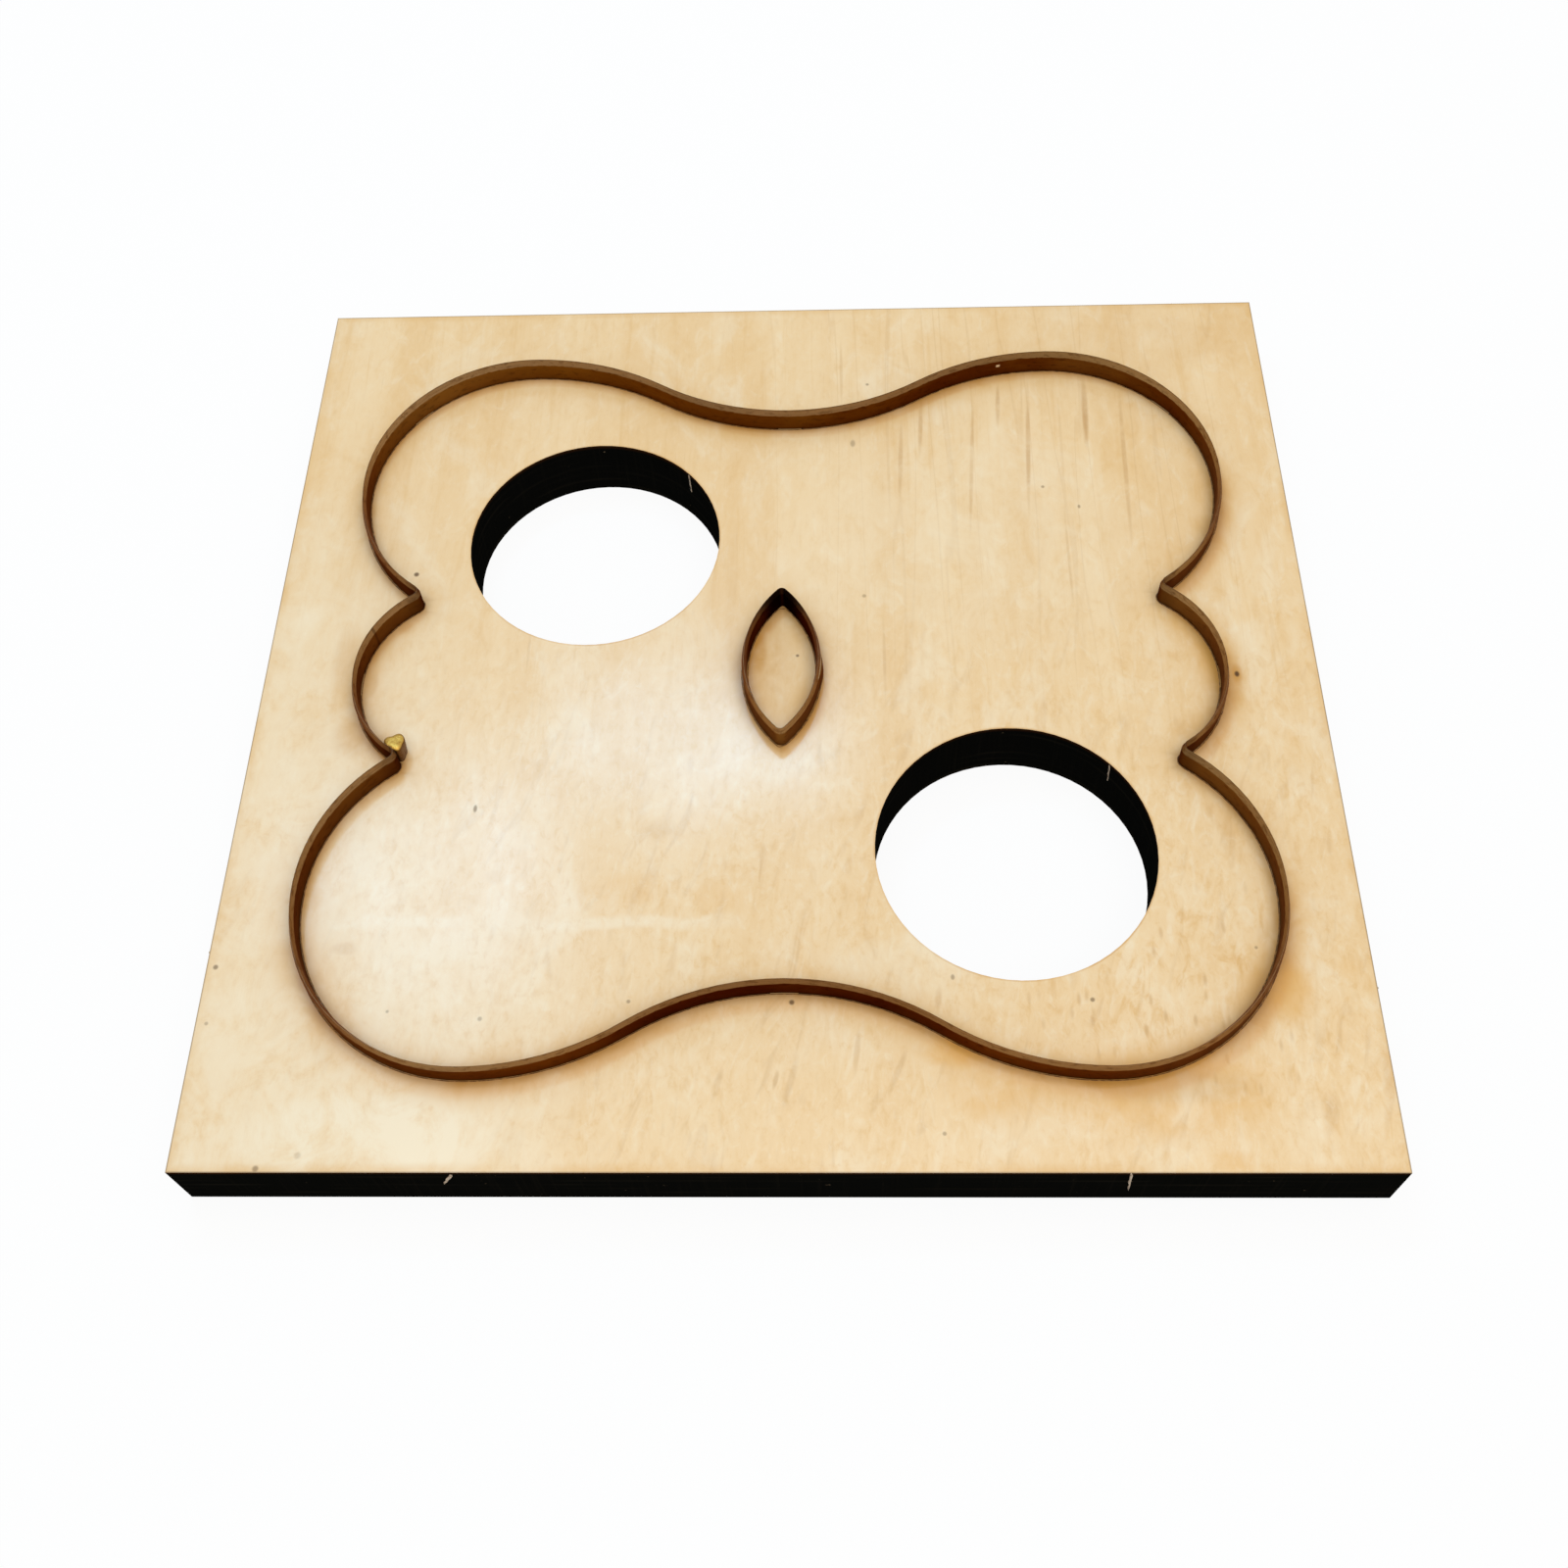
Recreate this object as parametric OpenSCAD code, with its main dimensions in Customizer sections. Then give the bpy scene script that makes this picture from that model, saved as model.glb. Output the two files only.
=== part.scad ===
// Steel rule die: bent cutting rule pressed into a laser-cut plywood board.
// Millimetres. The origin is the middle of the board's back face, +Z is the cutting side
// and +Y the edge away from the user.

/* [Board] */
// Thickness of the plywood
board_t = 17; // [12:0.5:22]
// Wood left of the outline rule
left_margin = 17.9; // [10:0.1:40]
// Wood right of the outline rule
right_margin = 17.1; // [10:0.1:40]
// Wood in front of the outline rule
front_margin = 19.8; // [10:0.1:40]
// Wood behind the outline rule
back_margin = 23.2; // [10:0.1:40]

/* [Relief holes] */
// Diameter of the two holes through the board
hole_d = 62.5; // [40:0.5:70]
// Left hole, from the rear left lobe's centre towards the middle
left_hole_in_x = 18.5; // [10:0.1:24]
// Left hole, from the rear left lobe's centre towards the front
left_hole_in_y = 15; // [5:0.1:20]
// Right hole, from the front right lobe's centre towards the middle
right_hole_in_x = 15.9; // [10:0.1:24]
// Right hole, from the front right lobe's centre towards the back
right_hole_in_y = 12; // [5:0.1:20]

/* [Cutting rule] */
// Height of the rule, heel to cutting edge
rule_h = 23.8; // [22:0.1:32]
// Thickness of the rule
rule_t = 1.05; // [0.7:0.01:1.5]
// Angle between the two sides of the centre bevel
bevel_angle = 30; // [20:1:60]
// Flat left along the cutting edge
edge_flat = 0.08; // [0.04:0.01:0.2]
// Gap where two ends of rule butt
butt_gap = 0.15; // [0.05:0.05:0.5]

/* [Outline] */
// Width across the lobes, on the rule's centreline
outline_w = 215; // [190:1:250]
// Depth across the lobes, on the rule's centreline
outline_d = 195; // [170:1:230]
// Radius of the four lobes
lobe_r = 40.5; // [32:0.5:46]
// Radius of the shoulder between a lobe and the wave beside it
shoulder_r = 64; // [50:1:90]
// How far the front and back waves dip in from the lobes
wave_dip = 19.1; // [10:0.1:26]
// How far the scallops' crests lie in from the lobes' sides
scallop_in = 5.4; // [0:0.1:12]
// How far the four notches' sharp corners lie in from the lobes' sides
notch_in = 19; // [15:0.1:25]
// Bend radius in the four notches
notch_r = 1.5; // [1.2:0.1:4]
// Place of the rule's joint on the right lobe, degrees below the lobe's centre
joint_angle = 23; // [5:1:40]

/* [Centre rule] */
// Width across the pointed oval
oval_w = 17.6; // [12:0.1:24]
// Length of the pointed oval, to its sharp points
oval_len = 40.4; // [32:0.1:50]
// Bend radius at its two points
oval_tip_r = 1.3; // [1:0.1:3]
// Right of the outline's centre
oval_x = -1.3; // [-10:0.1:10]
// Behind the outline's centre
oval_y = 2.4; // [-10:0.1:10]

/* [Kerf and bridges] */
// Clearance of the kerf on each side of the rule
kerf_clear = 0.03; // [0.01:0.01:0.1]
// Uncut wood left across the kerf at a bridge
bridge_w = 6; // [4:0.5:10]
// Clearance of the rule's bridge notch at each end of a bridge
bridge_end_clear = 0.5; // [0.2:0.1:1]
// Clearance of the rule's bridge notch over the board
bridge_top_clear = 0.3; // [0.1:0.1:1]
// Place of the bridge on each lobe, degrees from the side
lobe_bridge_angle = 42; // [20:1:70]
// Place of the bridge on the oval's right side, degrees below its middle
oval_bridge_angle = 22; // [15:1:30]

/* [Corner braze] */
// Radius of the brass bead at its foot
braze_r = 2.4; // [2:0.1:3]
// Radius of the bead's top
braze_top_r = 1.7; // [1:0.1:2]
// How far the bead's middle stands off the rule's face
braze_off = 1.5; // [1.4:0.1:2]
// How far the bead stops below the cutting edge
braze_drop = 1.1; // [0.5:0.1:3]

/* [Hidden] */
$fn = 180;
// How far a cutting tool runs past the faces that it cuts
cut_past = 1;

board_w = left_margin + outline_w + right_margin;
board_d = front_margin + outline_d + back_margin;
outline_at = [(left_margin - right_margin) / 2, (front_margin - back_margin) / 2];
oval_at = outline_at + [oval_x, oval_y];
bevel_h = (rule_t - edge_flat) / 2 / tan(bevel_angle / 2);
kerf_w = rule_t + 2 * kerf_clear;
// Half-width of a stretch, less than the tightest bend, and the turn between its points
stretch_half = 0.9 * min(notch_r, oval_tip_r);
stretch_step = 6;

// Angle of the way from one point to another
function heading(from, to) = atan2(to.y - from.y, to.x - from.x);

// Point where two circles meet, on the left of the way from the first centre to the second
function meeting(p, rp, q, rq) =
    let (
        d = norm(q - p),
        u = (q - p) / d,
        along = (rp * rp - rq * rq + d * d) / (2 * d),
        aside = sqrt(rp * rp - along * along)
    )
    p + along * u + aside * [-u.y, u.x];

// An arc of the rule is [centre, radius, first angle, last angle], with rising angles
function flip_x(arc) = [[-arc[0].x, arc[0].y], arc[1], 180 - arc[3], 180 - arc[2]];
function flip_y(arc) = [[arc[0].x, -arc[0].y], arc[1], -arc[3], -arc[2]];
function flip_xy(arc) = flip_x(flip_y(arc));
// One end of an arc, first (2) or last (3)
function tip(arc, end) = arc[0] + arc[1] * [cos(arc[end]), sin(arc[end])];
// Where one arc hands over to the next, as [point, angle across the rule]
function handover(a, b) = [
    for (i = [2, 3], j = [2, 3])
        if (norm(tip(a, i) - tip(b, j)) < butt_gap / 2) [tip(a, i), a[i]]
][0];
// Angle that a length takes up on an arc
function sweep(arc, length) = length / arc[1] * 180 / PI;

// Rear right quarter of the outline, from its own centre
lobe_at = [outline_w / 2 - lobe_r, outline_d / 2 - lobe_r];
shoulder_at = lobe_at + [0, lobe_r - shoulder_r];
wave_low = outline_d / 2 - wave_dip - shoulder_at.y;
wave_r = (pow(lobe_at.x, 2) + pow(wave_low, 2) - pow(shoulder_r, 2)) / (2 * (shoulder_r - wave_low));
wave_at = [0, outline_d / 2 - wave_dip + wave_r];
wave_half = 90 + heading(wave_at, shoulder_at);
corner_x = outline_w / 2 - notch_in;
corner_y = lobe_at.y - sqrt(pow(lobe_r, 2) - pow(corner_x - lobe_at.x, 2));
scallop_rise = notch_in - scallop_in;
scallop_r = (pow(scallop_rise, 2) + pow(corner_y, 2)) / (2 * scallop_rise);
scallop_at = [outline_w / 2 - scallop_in - scallop_r, 0];
notch_at = meeting(lobe_at, lobe_r + notch_r, scallop_at, scallop_r + notch_r);
lobe_end = heading(lobe_at, notch_at);
scallop_half = heading(scallop_at, notch_at);

wave = [wave_at, wave_r, -90 - wave_half, -90 + wave_half];
shoulder = [shoulder_at, shoulder_r, 90, 90 + wave_half];
lobe = [lobe_at, lobe_r, lobe_end, 90];
notch = [notch_at, notch_r, lobe_end + 180, scallop_half + 180];
scallop = [scallop_at, scallop_r, -scallop_half, scallop_half];

// The two lengths of outline rule, which butt on the right lobe and in the front left notch
function cut_start(arc, angle) = [arc[0], arc[1], angle, arc[3]];
function cut_end(arc, angle) = [arc[0], arc[1], arc[2], angle];
joint_half = sweep(lobe, butt_gap / 2);
upper_arcs = [
    cut_end(flip_x(scallop), 180 + scallop_half - sweep(scallop, butt_gap)),
    flip_x(notch), flip_x(lobe), flip_x(shoulder),
    wave,
    shoulder, cut_start(lobe, -joint_angle + joint_half)
];
lower_arcs = [
    cut_end(lobe, -joint_angle - joint_half), notch,
    scallop,
    flip_y(notch), flip_y(lobe), flip_y(shoulder),
    flip_y(wave),
    flip_xy(shoulder), flip_xy(lobe), flip_xy(notch)
];
outline_arcs = [
    wave, flip_y(wave), scallop, flip_x(scallop),
    for (arc = [shoulder, lobe, notch]) each [arc, flip_x(arc), flip_y(arc), flip_xy(arc)]
];

// The pointed oval, from its own centre: two sides joined by two bends
oval_r = (pow(oval_len, 2) + pow(oval_w, 2)) / (4 * oval_w);
oval_side_at = [oval_w / 2 - oval_r, 0];
oval_tip_at = [0, sqrt(pow(oval_r - oval_tip_r, 2) - pow(oval_side_at.x, 2))];
oval_half = heading(oval_side_at, oval_tip_at);
oval_side = [oval_side_at, oval_r, -oval_half, oval_half];
oval_tip = [oval_tip_at, oval_tip_r, oval_half, 180 - oval_half];
oval_joint_half = sweep(oval_side, butt_gap / 2);
oval_arcs = [
    cut_start(oval_side, oval_joint_half), oval_tip, flip_x(oval_side),
    flip_y(oval_tip), cut_end(oval_side, -oval_joint_half)
];
oval_kerf_arcs = [oval_side, oval_tip, flip_x(oval_side), flip_y(oval_tip)];

// A bridge is [arc, angle on that arc]
outline_bridges = [
    [wave, -90], [flip_y(wave), 90], [scallop, 0], [flip_x(scallop), 180],
    [lobe, lobe_bridge_angle], [flip_x(lobe), 180 - lobe_bridge_angle],
    [flip_y(lobe), -lobe_bridge_angle], [flip_xy(lobe), 180 + lobe_bridge_angle]
];
oval_bridges = [[oval_side, -oval_bridge_angle], [flip_x(oval_side), 180]];

// Section of the rule, heel on the back face, with its centre bevel
module rule_section() {
    polygon([
        [-rule_t / 2, 0], [rule_t / 2, 0], [rule_t / 2, rule_h - bevel_h],
        [edge_flat / 2, rule_h], [-edge_flat / 2, rule_h], [-rule_t / 2, rule_h - bevel_h]
    ]);
}

// Section of the laser's kerf, right through the board
module kerf_section() {
    translate([-kerf_w / 2, -cut_past])
        square([kerf_w, board_t + 2 * cut_past]);
}

// Moves by a vector in whole, thousandth and finer steps: the evaluated tree keeps six digits of
// each, and arcs placed that finely meet without a ridge
module place(v) {
    whole = [for (x = v) round(x)];
    fine = [for (x = v - whole) round(x * 1000) / 1000];
    translate(whole)
        translate(fine)
            translate(v - whole - fine)
                children();
}

// Plan of one arc's stretch, wider than the kerf and cut off square at the arc's two ends
module stretch(arc) {
    steps = ceil((arc[3] - arc[2]) / stretch_step);
    turns = [for (i = [0:steps]) arc[2] + (arc[3] - arc[2]) * i / steps];
    outer = [for (a = turns) arc[0] + (arc[1] + stretch_half) * [cos(a), sin(a)]];
    inner = [for (a = turns) arc[0] + (arc[1] - stretch_half) * [cos(a), sin(a)]];
    polygon(concat(outer, [for (i = [steps:-1:0]) inner[i]]));
}

// Sweeps a section along a chain of arcs: a full ring for each arc, kept only along its stretch,
// so that neighbouring arcs share their end faces and join into one solid
module along(arcs) {
    for (arc = arcs)
        intersection() {
            place([arc[0].x, arc[0].y, 0])
                rotate_extrude()
                    place([arc[1], 0])
                        children();
            translate([0, 0, -2 * cut_past])
                linear_extrude(rule_h + 4 * cut_past)
                    stretch(arc);
        }
}

// Block across the rule at each bridge
module bridge_blocks(bridges, length, height) {
    depth = 4 * kerf_w;
    for (bridge = bridges)
        translate([bridge[0][0].x, bridge[0][0].y, 0])
            rotate(bridge[1])
                translate([bridge[0][1] - depth / 2, -length / 2, -2 * cut_past])
                    cube([depth, length, height + 2 * cut_past]);
}

// Keys inside the rule at its tangent points, which make one solid of neighbouring arcs
module keys(arcs) {
    length = notch_r / 4;
    for (i = [0:len(arcs) - 2])
        let (spot = handover(arcs[i], arcs[i + 1]))
            translate([spot[0].x, spot[0].y, rule_t])
                rotate(spot[1])
                    translate([-rule_t / 4, -length / 2, 0])
                        cube([rule_t / 2, length, rule_h - bevel_h - 2 * rule_t]);
}

// A length of bent rule, notched from its heel over the bridges
module rule(arcs, bridges) {
    difference() {
        union() {
            along(arcs)
                rule_section();
            keys(arcs);
        }
        bridge_blocks(bridges, bridge_w + 2 * bridge_end_clear, board_t + bridge_top_clear);
    }
}

// A closed kerf, left uncut at the bridges
module kerf(arcs, bridges) {
    difference() {
        along(arcs)
            kerf_section();
        bridge_blocks(bridges, bridge_w, board_t + 3 * cut_past);
    }
}

module relief_hole(at) {
    translate([at.x, at.y, -cut_past])
        cylinder(d = hole_d, h = board_t + 2 * cut_past);
}

module on_outline() {
    translate([outline_at.x, outline_at.y, 0])
        children();
}

module on_oval() {
    translate([oval_at.x, oval_at.y, 0])
        children();
}

module die_board() {
    color("BurlyWood")
        difference() {
            translate([-board_w / 2, -board_d / 2, 0])
                cube([board_w, board_d, board_t]);
            on_outline() {
                kerf(outline_arcs, outline_bridges);
                relief_hole([-lobe_at.x + left_hole_in_x, lobe_at.y - left_hole_in_y]);
                relief_hole([lobe_at.x - right_hole_in_x, -lobe_at.y + right_hole_in_y]);
            }
            on_oval()
                kerf(oval_kerf_arcs, oval_bridges);
        }
}

module upper_rule() {
    color("SaddleBrown")
        on_outline()
            rule(upper_arcs, outline_bridges);
}

module lower_rule() {
    color("SaddleBrown")
        on_outline()
            rule(lower_arcs, outline_bridges);
}

module centre_rule() {
    color("SaddleBrown")
        on_oval()
            rule(oval_arcs, oval_bridges);
}

// Brass bead in the front left notch, run against the rule over the joint
module corner_braze() {
    joint = flip_xy(notch);
    inwards = heading(joint[0], flip_xy(scallop)[0]);
    bead_h = rule_h - braze_drop - board_t;
    color("Goldenrod")
        on_outline()
            difference() {
                translate([joint[0].x, joint[0].y, board_t])
                    rotate(inwards)
                        translate([notch_r + rule_t / 2 + braze_off, 0, 0])
                            cylinder(r1 = braze_r, r2 = braze_top_r, h = bead_h);
                along(upper_arcs)
                    rule_section();
                along(lower_arcs)
                    rule_section();
            }
}

die_board();
upper_rule();
lower_rule();
centre_rule();
corner_braze();
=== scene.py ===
"""Dresses a steel rule die: a laser-cut plywood board with bent, bevelled cutting rule set in it.

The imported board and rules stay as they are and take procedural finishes. A finer bead stands for
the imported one. Fine things that only the eye needs are added: the charred lip of the kerfs, the
torn remains of the tabs that held the board in its sheet, and the swelling where the oval's rule
closes. Sizes are in millimetres until a mesh is made.
"""

import logging
import math
from dataclasses import dataclass, field
from enum import Enum
from functools import reduce
from typing import Any, Mapping, Optional, Union

import bmesh
import bpy
from mathutils import Matrix, Vector


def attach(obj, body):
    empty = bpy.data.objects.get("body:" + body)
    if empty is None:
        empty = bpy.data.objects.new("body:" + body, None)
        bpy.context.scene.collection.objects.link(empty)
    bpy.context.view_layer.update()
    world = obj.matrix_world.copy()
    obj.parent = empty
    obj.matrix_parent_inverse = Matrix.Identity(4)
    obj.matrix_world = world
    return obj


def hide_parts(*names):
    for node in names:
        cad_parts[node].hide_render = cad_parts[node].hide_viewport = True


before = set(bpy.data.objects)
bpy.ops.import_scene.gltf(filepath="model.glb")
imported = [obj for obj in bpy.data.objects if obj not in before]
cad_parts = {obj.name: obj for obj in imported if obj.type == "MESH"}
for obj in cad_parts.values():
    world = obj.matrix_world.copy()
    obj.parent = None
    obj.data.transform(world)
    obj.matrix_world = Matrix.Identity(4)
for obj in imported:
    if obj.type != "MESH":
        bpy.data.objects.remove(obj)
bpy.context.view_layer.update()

log = logging.getLogger("steel_rule_die")
MM = 0.001
ROOT = "root"
WHITE = (1.0, 1.0, 1.0, 1.0)
FLATTEN = (1.0, 1.0, 0.0)
Point = tuple[float, float]
Spot = tuple[float, float, float]
Operand = Union["Wire", float]
Key = Union[str, int]
Settings = Optional[Mapping[str, Any]]
Sockets = Optional[Mapping[Key, Any]]


class Solid(Enum):
    """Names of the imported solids."""

    BOARD = "die_board"
    UPPER_RULE = "upper_rule"
    LOWER_RULE = "lower_rule"
    CENTRE_RULE = "centre_rule"
    BRAZE = "corner_braze"


class Slot(Enum):
    """Names of the material slots."""

    PLYWOOD = "plywood"
    RULE_STEEL = "rule_steel"
    BRAZE = "braze"


@dataclass(frozen=True)
class Tint:
    """A colour as a screen shows it, 0 to 255."""

    red: float
    green: float
    blue: float

    def rgba(self) -> tuple[float, float, float, float]:
        """Returns the colour as scene-linear values with full opacity."""
        shares = [part / 255 for part in (self.red, self.green, self.blue)]
        bent = [s / 12.92 if s <= 0.04045 else ((s + 0.055) / 1.055) ** 2.4 for s in shares]
        return (bent[0], bent[1], bent[2], 1.0)


class Wire:
    """A value on its way through a node tree; an expression on it adds Math nodes."""

    def __init__(self, bench: "Bench", socket: bpy.types.NodeSocket) -> None:
        """Holds the bench that made the value and the socket that it leaves from."""
        self.bench = bench
        self.socket = socket

    def _math(self, operation: str, *terms: Operand) -> "Wire":
        """Returns the result of one Math node on the terms."""
        return self.bench.make("ShaderNodeMath", {"operation": operation}, dict(enumerate(terms)))

    def __add__(self, other: Operand) -> "Wire":
        """Returns the sum."""
        return self._math("ADD", self, other)

    def __radd__(self, other: Operand) -> "Wire":
        """Returns the sum with a number on the left."""
        return self._math("ADD", other, self)

    def __sub__(self, other: Operand) -> "Wire":
        """Returns the difference."""
        return self._math("SUBTRACT", self, other)

    def __rsub__(self, other: Operand) -> "Wire":
        """Returns the difference from a number on the left."""
        return self._math("SUBTRACT", other, self)

    def __mul__(self, other: Operand) -> "Wire":
        """Returns the product."""
        return self._math("MULTIPLY", self, other)

    def __rmul__(self, other: Operand) -> "Wire":
        """Returns the product with a number on the left."""
        return self._math("MULTIPLY", other, self)

    def __abs__(self) -> "Wire":
        """Returns the value without its sign."""
        return self._math("ABSOLUTE", self)

    def at_least(self, other: Operand) -> "Wire":
        """Returns the larger of two values."""
        return self._math("MAXIMUM", self, other)

    def at_most(self, other: Operand) -> "Wire":
        """Returns the smaller of two values."""
        return self._math("MINIMUM", self, other)

    def zigzag(self, width: float) -> "Wire":
        """Returns the value folded to and fro between 0 and a width."""
        return self._math("PINGPONG", self, width)

    def ease(self, low: float, high: float) -> "Wire":
        """Returns 0 at low and 1 at high, with a smooth step between; low may be the larger."""
        settings = {"interpolation_type": "SMOOTHSTEP"}
        return self.bench.make("ShaderNodeMapRange", settings, {0: self, 1: low, 2: high})


class Bench:
    """Makes the nodes of one shader or geometry tree."""

    def __init__(self, tree: bpy.types.NodeTree) -> None:
        """Holds the tree and empties it."""
        self.tree = tree
        tree.nodes.clear()

    def node(
        self, kind: str, settings: Settings = None, sockets: Sockets = None
    ) -> bpy.types.Node:
        """Adds one node.

        Args:
            kind: The node's type.
            settings: Its properties, which are set first.
            sockets: Values or wires, by the input's name or number.

        Returns:
            The node.
        """
        node = self.tree.nodes.new(kind)
        for name, value in (settings or {}).items():
            setattr(node, name, value)
        for key, value in (sockets or {}).items():
            if isinstance(value, Wire):
                self.tree.links.new(value.socket, node.inputs[key])
            else:
                node.inputs[key].default_value = value
        return node

    def make(
        self, kind: str, settings: Settings = None, sockets: Sockets = None, output: Key = 0
    ) -> Wire:
        """Adds one node and takes one of its outputs.

        Args:
            kind: The node's type.
            settings: Its properties, which are set first.
            sockets: Values or wires, by the input's name or number.
            output: The output's name or number.

        Returns:
            The wire from that output.
        """
        return Wire(self, self.node(kind, settings, sockets).outputs[output])

    def vector(self, operation: str, first: Any, second: Any = None, output: int = 0) -> Wire:
        """Adds a Vector Math node.

        Args:
            operation: Its operation.
            first: A wire or a vector.
            second: A second wire or vector, where the operation takes one.
            output: 0 for a vector, 1 for a value.

        Returns:
            The result.
        """
        sockets = {0: first} if second is None else {0: first, 1: second}
        return self.make("ShaderNodeVectorMath", {"operation": operation}, sockets, output)

    def split(self, vector: Wire) -> tuple[Wire, Wire, Wire]:
        """Returns the three parts of a vector."""
        x, y, z = self.node("ShaderNodeSeparateXYZ", None, {0: vector}).outputs
        return Wire(self, x), Wire(self, y), Wire(self, z)

    def join(self, x: Operand, y: Operand, z: Operand) -> Wire:
        """Returns a vector of three values."""
        return self.make("ShaderNodeCombineXYZ", None, {0: x, 1: y, 2: z})

    def noise(
        self,
        place: Wire,
        rate: Spot,
        detail: float = 2.0,
        roughness: float = 0.5,
        distortion: float = 0.0,
    ) -> Wire:
        """Adds a noise pattern.

        Args:
            place: Where the pattern is read.
            rate: How many features it has per unit of length, by axis.
            detail: Number of finer layers.
            roughness: Strength of the finer layers.
            distortion: How far the pattern swirls.

        Returns:
            The pattern's value, about 0.2 to 0.8.
        """
        sockets = {
            "Vector": self.vector("MULTIPLY", place, rate),
            "Scale": 1.0,
            "Detail": detail,
            "Roughness": roughness,
            "Distortion": distortion,
        }
        return self.make("ShaderNodeTexNoise", {"noise_dimensions": "3D"}, sockets)

    def layer(self, colour: Any, *coats: tuple[Any, Operand]) -> Wire:
        """Lays coats of colour over one another.

        Args:
            colour: The tint or wire below all coats.
            coats: Tint or wire of each coat, and how much of it shows, 0 to 1.

        Returns:
            The colour.
        """
        settings = {"data_type": "RGBA", "clamp_factor": True}
        for coat, amount in coats:
            lower, upper = (c.rgba() if isinstance(c, Tint) else c for c in (colour, coat))
            colour = self.make("ShaderNodeMix", settings, {0: amount, 6: lower, 7: upper}, 2)
        return colour

    def facing(self) -> Wire:
        """Returns how far the surface faces up, 1 for straight up and -1 for straight down."""
        return self.split(self.make("ShaderNodeNewGeometry", None, None, "Normal"))[2]

    def reach(self, place: Wire, spot: Point) -> Wire:
        """Returns how far a place with no height is from a spot."""
        return self.vector("DISTANCE", place, (*spot, 0.0), 1)

    def bump(self, height: Wire, strength: float, depth: float) -> Wire:
        """Returns a normal that a height of so many millimetres has turned."""
        sockets = {"Height": height, "Strength": strength, "Distance": depth * MM}
        return self.make("ShaderNodeBump", None, sockets)

    def surface(self, sockets: Mapping[str, Any]) -> Wire:
        """Returns a shader with the given values and wires on its sockets."""
        return self.make("ShaderNodeBsdfPrincipled", None, sockets)


@dataclass(frozen=True)
class Arc:
    """A bend of the rule, with its angles in degrees."""

    x: float
    y: float
    radius: float
    first: float
    last: float
    hollow: bool = False

    def spot(self, angle: float, aside: float) -> Point:
        """Finds a point beside the bend.

        Args:
            angle: Where on the bend, in degrees.
            aside: How far outside the outline, negative for inside.

        Returns:
            The point.
        """
        reach = self.radius + (-aside if self.hollow else aside)
        return (
            self.x + reach * math.cos(math.radians(angle)),
            self.y + reach * math.sin(math.radians(angle)),
        )

    def run(self, aside: float, step: float) -> list[Point]:
        """Walks along the bend from its first angle to its last.

        Args:
            aside: How far outside the outline, negative for inside.
            step: Length of one step.

        Returns:
            The points, without the last one.
        """
        length = math.radians(abs(self.last - self.first)) * self.radius
        count = max(3, math.ceil(length / step))
        turn = (self.last - self.first) / count
        return [self.spot(self.first + turn * i, aside) for i in range(count)]

    def distance(self, place: Wire) -> Wire:
        """Adds the nodes that measure how far a place is from the bend.

        Args:
            place: The place, in millimetres, with no height.

        Returns:
            The distance in millimetres, which is exact beside the bend and too small past its ends.
        """
        bench = place.bench
        low, high = sorted((math.radians(self.first), math.radians(self.last)))
        reach = bench.vector("SUBTRACT", place, (self.x, self.y, 0.0))
        off = abs(bench.vector("LENGTH", reach, output=1) - self.radius)
        before = bench.vector("DOT_PRODUCT", reach, (math.sin(low), -math.cos(low), 0.0), 1)
        after = bench.vector("DOT_PRODUCT", reach, (-math.sin(high), math.cos(high), 0.0), 1)
        return off.at_least(before).at_least(after)


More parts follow.
